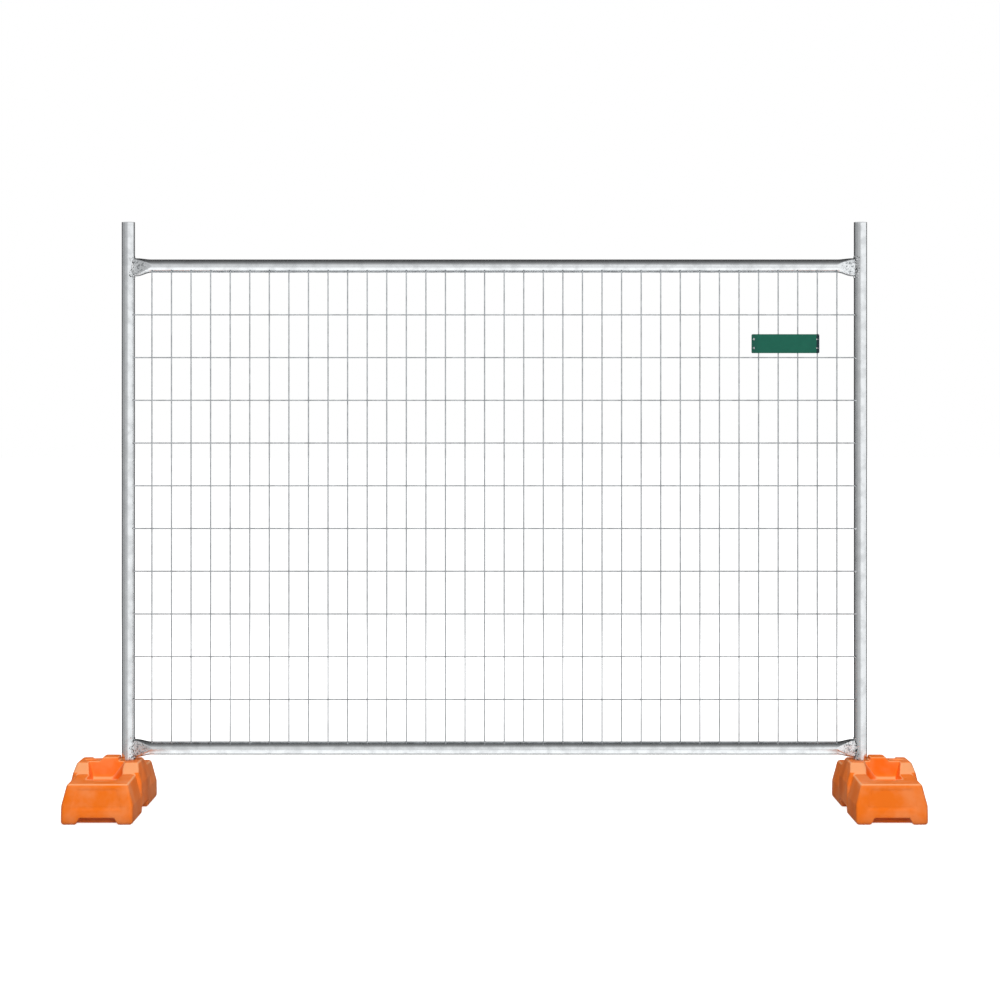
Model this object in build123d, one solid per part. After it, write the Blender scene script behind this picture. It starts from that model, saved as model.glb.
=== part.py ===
from build123d import *
from math import atan2, cos, pi, sin, sqrt
import os

# Temporary fence panel on two weighted feet. Lengths are millimetres, +Z is up,
# +X runs along the fence, and the origin is on the ground under the panel's middle.

# Welded frame
panel_width = 2400.0        # over the outsides of the two posts
post_top = 1894.0           # top of the open posts above the ground
post_stub = 141.0           # free post above the top rail's middle
tube_od = 42.4              # posts and rails
tube_wall = 2.0
bottom_rail_z = 201.0
seat_gap = 0.2              # between rounded faces that are welded together

# Rail ends, pressed to a tall oval that meets the post
press_height = 58.0
press_depth = 23.0
press_length = 48.0         # from the round tube to the full oval
press_straight = 6.0        # full oval in front of the post
top_press_drop = 4.0        # the top rail's ovals hang lower than its tube

# Weld beads round the rail ends
weld_leg = 5.0
weld_tip = 1.25             # the bead's thickness at its thin edge, on the rail
weld_sides = 12

# Welded wire mesh, upright wires in front of the level ones
wire_d = 4.0
wire_setback = 13.0         # level wires in front of the frame's middle plane
upright_pitch = 62.9
level_pitch_goal = 137.3
wire_overhang = 3.0         # upright wires run on past the end level wires
wire_rail_gap = 0.5
mesh_sections = 4

# Small plate in front of the mesh
plate_width = 218.0
plate_height = 61.0
plate_thickness = 2.0
plate_corner = 4.0
plate_from_post = 243.8     # from the right post's middle to the plate's
plate_below_rail = 250.5    # from the top rail's middle to the plate's
plate_hole_r = 2.5
plate_hole_inset = 7.4
plate_hole_drop = 14.3
plate_gap = 0.3

# End blocks of the weighted feet
foot_length = 600.0
foot_half_base = 112.0      # half width of the upright part of the flanks
foot_half_top = 94.0
foot_flank_z = 58.0         # height where the flanks start to lean in
end_flank_z = 30.0          # height where the end faces start to lean in
end_block_z = 126.0         # top of the end blocks at their outer ends
inner_block_z = 130.0       # top of the end blocks beside the saddle
end_draft = 16.0            # lean of the end faces
foot_edge_r = 10.0
foot_toe = 6.0              # chamfer where the foot meets the ground
face_panel_low = 47.0       # sunk panel in each end face
face_panel_high = 110.0
face_panel_half_low = 78.0
face_panel_half_high = 64.0
face_panel_depth = 2.0

# Saddle of the feet, the higher middle block that holds the posts
saddle_z = 164.0
saddle_proud = 2.0          # the saddle's flank stands out past the end blocks'
saddle_half_top = 98.0
saddle_flank_z = 100.0      # height where its flanks start to lean in
saddle_slope_z = 136.0      # height of the foot of its two slopes
saddle_base_reach = 102.0   # from the middle to the foot of the slope
saddle_top_reach = 62.0
saddle_edge_r = 9.0

# Gap between the two horns of each slope, a scoop that runs out on the end block's top
recess_floor_z = 101.0      # its lowest line, in front of its back wall
recess_wall_y = 38.0        # from the middle to its back wall
recess_run_out = 230.0      # from the middle to where its floor meets the end block's top
recess_root_r = 20.0
recess_half = 45.0          # half its width at its lowest height, from the slope's foot on
recess_lean = 0.25          # how far its sides lean out for each mm of height
recess_back_outer = 47.0    # its width at the back wall, from the middle away from the panel
recess_back_inner = 1.5     # and towards the panel
recess_back_lean = 0.8      # its panel side leans more there, round the post's socket

# Raised pad between the two sockets
boss_z = 176.0
boss_inner = 30.0           # reach towards the panel
boss_outer_base = 28.0      # reach away from the panel
boss_outer_top = 19.0

# Grips cut under the feet
end_notch_half = 66.0
end_notch_half_top = 54.0
end_notch_z = 22.0
end_notch_depth = 45.0
side_notch_half = 78.0
side_notch_half_top = 74.0
side_notch_z = 26.0
side_notch_depth = 34.0

# Post sockets in the feet
socket_offset = 57.5        # from the foot's middle to each socket
socket_clearance = 0.4
socket_floor_z = 24.0
socket_rim = 2.0            # chamfer round each socket's mouth

# Bung of the filling hole, under the foot
plug_r = 24.0
plug_thickness = 8.0
plug_clearance = 0.3
plug_sides = 24
plug_sink = 4.0             # the bung lies this far above the ground

overrun = 1.0               # how far a cutter reaches past what it cuts

tube_r = tube_od / 2
post_x = (panel_width - tube_od) / 2
foot_x = post_x + socket_offset
top_rail_z = post_top - post_stub
socket_r = tube_r + socket_clearance
weld_root_x = post_x - tube_r / 2       # the bead's cone runs on to here, inside the post
wire_flat = wire_d * sqrt(pi) / 2       # square bar with the round wire's area
upright_y = wire_setback + wire_flat


def rail_form(rail_z, press_drop, grow):
    """A rail's outline from post to post, larger by grow all round."""
    round_half = post_x - tube_r - press_straight - press_length
    form = extrude(Plane.YZ.offset(-round_half) * Circle(tube_r + grow), 2 * round_half)
    oval = Pos(0, -press_drop) * Ellipse(press_depth / 2 + grow, press_height / 2 + grow)
    for side in (-1, 1):
        start = Plane.YZ.offset(side * round_half) * Circle(tube_r + grow)
        end = Plane.YZ.offset(side * (round_half + press_length)) * oval
        form += loft([start.face(), end.face()])
        form += extrude(end, side * (press_straight + tube_r))
    return Pos(0, 0, rail_z) * form


def post_form(side, grow):
    """The outside of a post, larger by grow all round."""
    height = post_top - socket_floor_z
    base = Pos(side * post_x, 0, socket_floor_z)
    return base * Cylinder(tube_r + grow, height, align=(Align.CENTER, Align.CENTER, Align.MIN))


def post(side):
    """An open tube that stands on the floor of its socket."""
    return post_form(side, 0) - post_form(side, -tube_wall)


def rail(rail_z, press_drop):
    """A tube with pressed ends, coped round both posts."""
    tube = rail_form(rail_z, press_drop, 0) - rail_form(rail_z, press_drop, -tube_wall)
    for side in (-1, 1):
        tube -= post_form(side, seat_gap)
    return tube


def oval_ring(grow):
    """A many-sided oval that clears the rail's pressed end by grow."""
    reach = 1 / cos(pi / weld_sides)
    turns = [2 * pi * i / weld_sides for i in range(weld_sides)]
    half_y = (press_depth / 2 + grow) * reach
    half_z = (press_height / 2 + grow) * reach
    corners = [(half_y * cos(turn), half_z * sin(turn)) for turn in turns]
    return make_face(Polyline(*corners, close=True))


def weld(side, rail_z, press_drop):
    """The bead that closes the joint between a rail's end and its post."""
    tip = Plane.YZ.offset(side * (post_x - tube_r - press_straight)) * oval_ring(weld_tip)
    root = Plane.YZ.offset(side * weld_root_x) * oval_ring(weld_leg)
    bead = loft([tip.face(), root.face()], ruled=True)
    bead -= extrude(Plane.YZ.offset(side * post_x) * oval_ring(seat_gap), -side * tube_od)
    return Pos(0, 0, rail_z - press_drop) * bead - post_form(side, seat_gap)


def wire_drop():
    """How far the end level wires lie from a rail's middle, seated on its shoulder."""
    inner_face = wire_setback - wire_flat / 2
    return sqrt(tube_r ** 2 - inner_face ** 2) + wire_flat / 2 + wire_rail_gap


def level_heights():
    """Heights of the level wires, evenly spaced between the two rails."""
    low = bottom_rail_z + wire_drop()
    span = top_rail_z - wire_drop() - low
    bays = round(span / level_pitch_goal)
    return [low + span * i / bays for i in range(bays + 1)]


def upright_places():
    """Places of the upright wires along the panel, about its middle."""
    clear_width = 2 * (post_x - tube_r)
    count = int(clear_width // upright_pitch)
    return [(i - (count - 1) / 2) * upright_pitch for i in range(count)]


def level_wire(start, end, height):
    """One level wire from start to end along X."""
    bar = Box(end - start, wire_flat, wire_flat, align=(Align.MIN, Align.CENTER, Align.CENTER))
    return Pos(start, -wire_setback, height) * bar


def upright_wire(x, low, high):
    """One upright wire, against the front of the level wires."""
    bar = Box(wire_flat, wire_flat, high - low, align=(Align.CENTER, Align.CENTER, Align.MIN))
    return Pos(x, -upright_y, low) * bar


def mesh_section(index):
    """One of the sections that the sheet of mesh is held in."""
    heights = level_heights()
    places = upright_places()
    first = len(places) * index // mesh_sections
    last = len(places) * (index + 1) // mesh_sections
    inner_face = wire_setback - wire_flat / 2
    wall_x = post_x - sqrt(tube_r ** 2 - inner_face ** 2) - seat_gap
    corner_x = places[-1] + wire_overhang
    start = places[first] - upright_pitch / 2 if index else -wall_x
    end = places[last - 1] + upright_pitch / 2 if index < mesh_sections - 1 else wall_x
    bars = []
    for height in heights:
        reach = corner_x if height in (heights[0], heights[-1]) else wall_x
        bars.append(level_wire(max(start, -reach), min(end, reach), height))
    for x in places[first:last]:
        bars.append(upright_wire(x, heights[0] - wire_overhang, heights[-1] + wire_overhang))
    return bars[0].fuse(*bars[1:])


def sign_plate():
    """A bare plate with rounded corners and a hole near each corner."""
    outline = RectangleRounded(plate_width, plate_height, plate_corner)
    for side in (-1, 1):
        for end in (-1, 1):
            hole_x = side * (plate_width / 2 - plate_hole_inset)
            outline -= Pos(hole_x, end * plate_hole_drop) * Circle(plate_hole_r)
    back_y = upright_y + wire_flat / 2 + plate_gap
    place = Pos(post_x - plate_from_post, -back_y, top_rail_z - plate_below_rail)
    return place * extrude(Plane.XZ * outline, plate_thickness)


def prism_across(points, half_width):
    """A YZ outline pulled through the foot's width."""
    face = Plane.YZ.offset(-half_width) * make_face(Polyline(*points, close=True))
    return extrude(face, 2 * half_width)


def prism_along(points, half_length):
    """An XZ outline pulled through the foot's length."""
    face = Plane.XZ.offset(-half_length) * make_face(Polyline(*points, close=True))
    return extrude(face, 2 * half_length)


def mirrored(points):
    """The points, and the same points mirrored and taken back in reverse."""
    return points + [(-across, up) for across, up in reversed(points)]


def soft_edges(body, hard_heights):
    """The edges of a block that are rounded: all but those that lie level at a hard height."""
    level = {height: body.edges().filter_by_position(Axis.Z, height, height) for height in hard_heights}
    hard = [edge for edges in level.values() for edge in edges]
    return [edge for edge in body.edges() if edge not in hard]


def end_blocks():
    """The long low body with leaning flanks and end faces."""
    half = foot_length / 2
    section = mirrored([(foot_half_base, 0), (foot_half_base, foot_flank_z), (foot_half_top, inner_block_z)])
    profile = mirrored([
        (half, 0),
        (half, end_flank_z),
        (half - end_draft, end_block_z),
        (saddle_base_reach, inner_block_z),
    ])
    body = prism_along(section, half + overrun) & prism_across(profile, foot_half_base + overrun)
    body = fillet(soft_edges(body, (0, foot_flank_z, end_flank_z, inner_block_z)), foot_edge_r)
    toe = body.edges().filter_by_position(Axis.Z, 0, 0)
    return chamfer(toe, foot_toe)


def face_panel(end):
    """The sunk panel in one leaning end face."""
    lean = atan2(end_draft, end_block_z - end_flank_z)
    outward = (0, end * cos(lean), sin(lean))
    face = Plane(origin=(0, end * foot_length / 2, end_flank_z), x_dir=(-end, 0, 0), z_dir=outward)
    low = (face_panel_low - end_flank_z) / cos(lean)
    high = (face_panel_high - end_flank_z) / cos(lean)
    outline = mirrored([(face_panel_half_low, low), (face_panel_half_high, high)])
    return extrude(face * make_face(Polyline(*outline, close=True)), face_panel_depth, both=True)


def saddle():
    """The higher and wider middle block that the posts stand in."""
    half_base = foot_half_base + saddle_proud
    section = mirrored([(half_base, side_notch_z), (half_base, saddle_flank_z), (saddle_half_top, saddle_z)])
    profile = mirrored([
        (saddle_base_reach, side_notch_z),
        (saddle_base_reach, saddle_slope_z),
        (saddle_top_reach, saddle_z),
    ])
    body = prism_along(section, saddle_base_reach + overrun) & prism_across(profile, half_base + overrun)
    return fillet(soft_edges(body, (side_notch_z, saddle_flank_z)), saddle_edge_r)


def boss():
    """The raised pad, flush with the back walls of the two gaps."""
    outline = [
        (-boss_outer_base, recess_floor_z),
        (boss_inner, recess_floor_z),
        (boss_inner, boss_z),
        (-boss_outer_top, boss_z),
        (-boss_outer_base, saddle_z),
    ]
    return prism_along(outline, recess_wall_y)


def recess_outline(reach, outer, inner, inner_lean):
    """The gap's outline on a plane across the foot, at a reach from its middle."""
    top = boss_z + overrun
    rise = top - recess_floor_z
    points = [
        (-outer, recess_floor_z),
        (inner, recess_floor_z),
        (inner + inner_lean * rise, top),
        (-outer - recess_lean * rise, top),
    ]
    return (Plane.XZ.offset(reach) * make_face(Polyline(*points, close=True))).face()


def recess(end):
    """The gap between the two horns of one slope. Its floor rises to the end block's top."""
    top = boss_z + overrun
    ramp = prism_across([
        (-recess_wall_y, recess_floor_z),
        (-recess_wall_y, top),
        (-recess_run_out, top),
        (-recess_run_out, inner_block_z),
    ], foot_half_base)
    root = ramp.edges().filter_by(Axis.X).sort_by(Axis.Z)[0]
    ramp = fillet(root, recess_root_r)
    widths = [
        recess_outline(recess_wall_y, recess_back_outer, recess_back_inner, recess_back_lean),
        recess_outline(saddle_base_reach, recess_half, recess_half, recess_lean),
        recess_outline(recess_run_out, recess_half, recess_half, recess_lean),
    ]
    gap = ramp & loft(widths, ruled=True)
    return gap if end < 0 else mirror(gap, about=Plane.XZ)


def socket():
    """The cutter for one post socket. Its flared mouth is one rim wider at the saddle's top."""
    depth = boss_z - socket_floor_z
    hole = Cylinder(socket_r, depth, align=(Align.CENTER, Align.CENTER, Align.MIN))
    mouth = Cone(socket_r, socket_r + 2 * socket_rim, 2 * socket_rim)
    return Pos(0, 0, socket_floor_z) * hole + Pos(0, 0, saddle_z) * mouth


def foot():
    """A moulded foot, standing on its own middle, with the panel towards +X."""
    body = end_blocks() + saddle() + boss()
    for end in (-1, 1):
        body -= recess(end)
        body -= face_panel(end)
        notch = mirrored([(end_notch_half, 0), (end_notch_half_top, end_notch_z)])
        body -= Pos(0, end * foot_length / 2, 0) * prism_along(notch, end_notch_depth)
        grip = mirrored([(side_notch_half, 0), (side_notch_half_top, side_notch_z)])
        body -= Pos(end * (foot_half_base + saddle_proud), 0, 0) * prism_across(grip, side_notch_depth)
        body -= Pos(end * socket_offset, 0, 0) * socket()
    plug_hole = foot_plug_form(plug_r + plug_clearance, plug_sink + plug_thickness + plug_clearance)
    return body - plug_hole


def foot_plug_form(radius, height):
    """A many-sided disc that stands on the ground."""
    return extrude(RegularPolygon(radius, plug_sides), height)


def foot_plug():
    """The bung of the filling hole."""
    return Pos(0, 0, plug_sink) * foot_plug_form(plug_r, plug_thickness)


def save(shape, node):
    """Write one named piece."""
    export_step(shape, f"parts/{node}.step")


os.makedirs("parts", exist_ok=True)

weighted_foot = foot()
for side, word in ((-1, "left"), (1, "right")):
    half_turn = 180 if side > 0 else 0
    place = Pos(side * foot_x, 0, 0) * Rot(0, 0, half_turn)
    save(post(side), f"{word}_post")
    save(weld(side, top_rail_z, top_press_drop), f"weld_top_{word}")
    save(weld(side, bottom_rail_z, 0), f"weld_bottom_{word}")
    save(place * weighted_foot, f"{word}_foot")
    save(place * foot_plug(), f"{word}_foot_plug")

save(rail(top_rail_z, top_press_drop), "top_rail")
save(rail(bottom_rail_z, 0), "bottom_rail")

for index in range(mesh_sections):
    save(mesh_section(index), f"mesh_{index + 1}")

save(sign_plate(), "sign_plate")
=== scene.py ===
"""Looks of a temporary fence panel: galvanised tube, welded wire mesh and two moulded feet."""

import logging
import math
import random
from dataclasses import dataclass
from enum import Enum
from typing import Any, Iterable

import bmesh
import bpy
from mathutils import Matrix, Vector, noise


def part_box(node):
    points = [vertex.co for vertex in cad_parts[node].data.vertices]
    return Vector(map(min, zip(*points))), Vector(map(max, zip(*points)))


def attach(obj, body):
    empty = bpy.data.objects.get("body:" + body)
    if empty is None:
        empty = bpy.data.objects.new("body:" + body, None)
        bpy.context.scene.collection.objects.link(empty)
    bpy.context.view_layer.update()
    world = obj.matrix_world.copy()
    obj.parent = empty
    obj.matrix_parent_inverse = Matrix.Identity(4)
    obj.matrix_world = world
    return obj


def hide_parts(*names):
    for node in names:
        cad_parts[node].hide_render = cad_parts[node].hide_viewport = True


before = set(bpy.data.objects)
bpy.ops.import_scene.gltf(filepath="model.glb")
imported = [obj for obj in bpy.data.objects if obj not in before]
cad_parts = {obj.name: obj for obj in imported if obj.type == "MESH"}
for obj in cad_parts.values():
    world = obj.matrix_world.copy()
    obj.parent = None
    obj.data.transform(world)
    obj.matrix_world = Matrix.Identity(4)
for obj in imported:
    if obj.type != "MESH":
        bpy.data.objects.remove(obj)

Tree = bpy.types.NodeTree
Socket = bpy.types.NodeSocket
Material = bpy.types.Material
Piece = bpy.types.Object
Edges = list[bmesh.types.BMEdge]
Stops = tuple[tuple[float, float], ...]

LOG = logging.getLogger("fence_panel")
BODY = "root"
MM = 0.001
MM_PER_METRE = 1000
QUARTER_TURN = math.pi / 2
SMOOTH = {"interpolation_type": "SMOOTHSTEP"}
FACTOR, FIRST, SECOND, MIXED = 0, 6, 7, 2     # a Mix node's sockets where it mixes colours


class Axis(Enum):
    """The direction that a tube or wire runs in."""

    ALONG_FENCE = "X"
    UPRIGHT = "Z"


class Side(Enum):
    """The two ends of the panel."""

    LEFT = -1
    RIGHT = 1

    @property
    def word(self) -> str:
        """The side's name as the pieces spell it."""
        return self.name.lower()


class Level(Enum):
    """The two rails."""

    BOTTOM = "bottom"
    TOP = "top"


class Slot(Enum):
    """Names of the fence's material slots."""

    TUBE = "galvanised_tube"
    WELD = "zinc_weld"
    WIRE = "galvanised_wire"
    FOOT = "orange_polyethylene"
    BUNG = "black_bung"


def srgb(code: str) -> tuple[float, float, float, float]:
    """Turn an sRGB hex colour into linear values.

    Args:
        code: A colour such as "#FF6A00".

    Returns:
        Linear red, green and blue, and an alpha of 1.
    """
    parts = [int(code[i:i + 2], 16) / 255 for i in (1, 3, 5)]
    linear = [c / 12.92 if c <= 0.04045 else ((c + 0.055) / 1.055) ** 2.4 for c in parts]
    return (linear[0], linear[1], linear[2], 1.0)


def add_node(tree: Tree, kind: str, sockets: dict[Any, Any] | None = None, **settings: Any) -> bpy.types.Node:
    """Add one node to a tree.

    Args:
        tree: The tree that takes the node.
        kind: The node's type, without its ShaderNode prefix.
        sockets: Input names or numbers, each with a value or with the output that feeds it.
        settings: Properties of the node itself.

    Returns:
        The new node.
    """
    node = tree.nodes.new("ShaderNode" + kind)
    for name, value in settings.items():
        setattr(node, name, value)
    for name, value in (sockets or {}).items():
        if isinstance(value, Socket):
            tree.links.new(value, node.inputs[name])
        else:
            node.inputs[name].default_value = value
    return node


def new_material(name: str) -> tuple[Material, Tree, Socket]:
    """Start a material from an empty tree.

    Args:
        name: The material's name.

    Returns:
        The material, its tree and the object coordinates in it.
    """
    material = bpy.data.materials.new(name)
    material.use_nodes = True
    tree = material.node_tree
    tree.nodes.clear()
    return material, tree, add_node(tree, "TexCoord").outputs["Object"]


def surfaced(material: Material, sockets: dict[str, Any]) -> Material:
    """Close a material with its shader.

    Args:
        material: The material, with its other nodes in place.
        sockets: The shader's values, and the outputs that feed it.

    Returns:
        The material.
    """
    shader = add_node(material.node_tree, "BsdfPrincipled", sockets)
    add_node(material.node_tree, "OutputMaterial", {"Surface": shader.outputs["BSDF"]})
    return material


def layered(tree: Tree, colour: Any, *layers: tuple[Socket, str]) -> Socket:
    """Lay colours over a first one.

    Args:
        tree: The tree that takes the nodes.
        colour: The first colour, or the output that gives it.
        layers: How much of each next colour shows, with that colour.

    Returns:
        The colour of them all.
    """
    for share, over in layers:
        mix = {FACTOR: share, FIRST: colour, SECOND: srgb(over)}
        colour = add_node(tree, "Mix", mix, data_type="RGBA").outputs[MIXED]
    return colour


def grey_ramp(tree: Tree, value: Socket, stops: Stops) -> Socket:
    """Give a brightness to each value, in straight runs between stops.

    Args:
        tree: The tree that takes the nodes.
        value: The value to look up.
        stops: Pairs of a value and its brightness, in rising order.

    Returns:
        The brightness.
    """
    low, high = stops[0][0], stops[-1][0]
    brightest = max(level for _, level in stops)
    share = add_node(tree, "MapRange", {"Value": value, "From Min": low, "From Max": high}).outputs["Result"]
    ramp = add_node(tree, "ValToRGB", {"Fac": share})
    elements = ramp.color_ramp.elements
    for place, level in stops:
        at = (place - low) / (high - low)
        element = elements[0] if at == 0 else elements[-1] if at == 1 else elements.new(at)
        grey = level / brightest
        element.color = (grey, grey, grey, 1)
    scaled = {0: ramp.outputs["Color"], 1: brightest}
    return add_node(tree, "Math", scaled, operation="MULTIPLY").outputs["Value"]


@dataclass(frozen=True)
class Grain:
    """Cloudy noise whose spots have a real size in millimetres."""

    size_mm: float
    detail: float = 3.0
    roughness: float = 0.6

    def sockets(self, place: Socket) -> dict[str, Any]:
        """What a noise node takes to show this grain at a place."""
        scale = MM_PER_METRE / self.size_mm
        return {"Vector": place, "Scale": scale, "Detail": self.detail, "Roughness": self.roughness}


@dataclass(frozen=True)
class Spread:
    """A range of values that is carried smoothly to another range, held at both ends."""

    low: float
    high: float
    at_low: float = 0.0
    at_high: float = 1.0

    def sockets(self, value: Socket) -> dict[str, Any]:
        """What a range node takes to carry a value over."""
        given = {"Value": value, "From Min": self.low, "From Max": self.high}
        return given | {"To Min": self.at_low, "To Max": self.at_high}


@dataclass(frozen=True)
class Patches:
    """Soft-edged patches of one grain."""

    grain: Grain
    spread: Spread

    def share(self, tree: Tree, place: Socket) -> Socket:
        """How much the patches show at a place."""
        spots = add_node(tree, "TexNoise", self.grain.sockets(place)).outputs["Fac"]
        return add_node(tree, "MapRange", self.spread.sockets(spots), **SMOOTH).outputs["Result"]


@dataclass(frozen=True)
class Relief:
    """How deep a height pattern is in millimetres, and how much of it shows."""

    depth_mm: float
    strength: float

    def sockets(self, height: Socket, under: Socket | None = None) -> dict[str, Any]:
        """What a bump node takes for a height, laid over another relief where there is one."""
        sockets = {"Height": height, "Distance": self.depth_mm * MM, "Strength": self.strength}
        return sockets if under is None else sockets | {"Normal": under}


@dataclass(frozen=True)
class GalvanisedTube:
    """Hot-dip galvanised steel tube: bright zinc with faint draw lines and cloudy grain.

    The draw lines break a highlight into thin streaks along the tube, and the zinc's clouds
    make some stretches a little duller than others.
    """

    axis: Axis
    crushed_from: float = 0.0   # place along the fence where pressed ends start, or 0 for none
    crushed_reach: float = 0.03
    light: str = "#DADDDF"
    dull: str = "#C9CCCE"
    clouds: Patches = Patches(Grain(30.0, 4.0), Spread(0.38, 0.68))
    polish: Spread = Spread(0.0, 1.0, 0.22, 0.29)   # roughness, from the light zinc to the dull
    draw_lines: Grain = Grain(2.2, 2.0)     # real lines are finer; this width still shows in the render
    draw_stretch: float = 70.0
    draw_relief: Relief = Relief(0.05, 0.5)
    pit: str = "#63676A"
    pits: Grain = Grain(5.5)
    pit_spread: Spread = Spread(0.48, 0.64, 0.0, 0.85)
    pit_relief: Relief = Relief(1.0, 0.8)

    def build(self) -> Material:
        """Build the material for tube that runs along the finish's axis."""
        material, tree, place = new_material(f"hot_dip_galvanised_tube_{self.axis.name.lower()}")
        thin = 1 / self.draw_stretch
        stretch = (thin, 1, 1) if self.axis is Axis.ALONG_FENCE else (1, 1, thin)
        drawn = add_node(tree, "Mapping", {"Vector": place, "Scale": stretch}).outputs["Vector"]
        lines = add_node(tree, "TexNoise", self.draw_lines.sockets(drawn)).outputs["Fac"]
        dullness = self.clouds.share(tree, place)
        colour = layered(tree, srgb(self.light), (dullness, self.dull))
        roughness = add_node(tree, "MapRange", self.polish.sockets(dullness), **SMOOTH).outputs["Result"]
        dents = None
        if self.crushed_from:
            colour, dents = self.crush(tree, place, colour)
        normal = add_node(tree, "Bump", self.draw_relief.sockets(lines, dents)).outputs["Normal"]
        metal = {"Base Color": colour, "Metallic": 1.0, "Roughness": roughness, "Normal": normal}
        return surfaced(material, metal)

    def crush(self, tree: Tree, place: Socket, colour: Socket) -> tuple[Socket, Socket]:
        """Roughen the pressed ends, where the press and the weld's heat left the zinc grainy.

        Args:
            tree: The material's tree.
            place: The object coordinates.
            colour: The colour of the plain tube.

        Returns:
            The colour with the pressed ends in it, and the normal of their dents.
        """
        along = add_node(tree, "SeparateXYZ", {"Vector": place}).outputs["X"]
        out = add_node(tree, "Math", {0: along}, operation="ABSOLUTE").outputs["Value"]
        ends = Spread(self.crushed_from, self.crushed_from + self.crushed_reach)
        mask = add_node(tree, "MapRange", ends.sockets(out), **SMOOTH).outputs["Result"]
        spots = add_node(tree, "TexNoise", self.pits.sockets(place)).outputs["Fac"]
        dark = add_node(tree, "MapRange", self.pit_spread.sockets(spots), **SMOOTH).outputs["Result"]
        dark = add_node(tree, "Math", {0: dark, 1: mask}, operation="MULTIPLY").outputs["Value"]
        colour = layered(tree, colour, (dark, self.pit))
        dents = add_node(tree, "Math", {0: spots, 1: mask}, operation="MULTIPLY").outputs["Value"]
        return colour, add_node(tree, "Bump", self.pit_relief.sockets(dents)).outputs["Normal"]


@dataclass(frozen=True)
class ZincWeld:
    """Weld bead brushed and zinc coated: a grainy skin, bright on its lumps and dark in its pits."""

    bright: str = "#F4F5F6"
    pit: str = "#101112"
    grit: Grain = Grain(4.6)
    pit_spread: Spread = Spread(0.47, 0.56)
    relief: Relief = Relief(1.2, 0.9)
    roughness: float = 0.42

    def build(self) -> Material:
        """Build the material."""
        material, tree, place = new_material("zinc_coated_weld")
        spots = add_node(tree, "TexNoise", self.grit.sockets(place)).outputs["Fac"]
        pits = add_node(tree, "MapRange", self.pit_spread.sockets(spots), **SMOOTH).outputs["Result"]
        colour = layered(tree, srgb(self.bright), (pits, self.pit))
        normal = add_node(tree, "Bump", self.relief.sockets(spots)).outputs["Normal"]
        metal = {"Base Color": colour, "Metallic": 1.0, "Roughness": self.roughness, "Normal": normal}
        return surfaced(material, metal)


@dataclass(frozen=True)
class DrawnWire:
    """Galvanised drawn wire gone dull: the zinc's grey dulling makes it light above and dark below.

    The dull zinc scatters the light, so the wire shows its lit side and its shaded side, and small
    patches of brighter zinc are left in it.
    """

    light: str = "#A9ADB0"
    dull: str = "#8E9295"
    patches: Patches = Patches(Grain(24.0), Spread(0.4, 0.66))
    bloom_metallic: float = 0.35
    roughness: float = 0.42

    def build(self) -> Material:
        """Build the material."""
        material, tree, place = new_material("drawn_galvanised_wire")
        dullness = self.patches.share(tree, place)
        colour = layered(tree, srgb(self.light), (dullness, self.dull))
        metal = {"Base Color": colour, "Metallic": self.bloom_metallic, "Roughness": self.roughness}
        return surfaced(material, metal)


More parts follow.
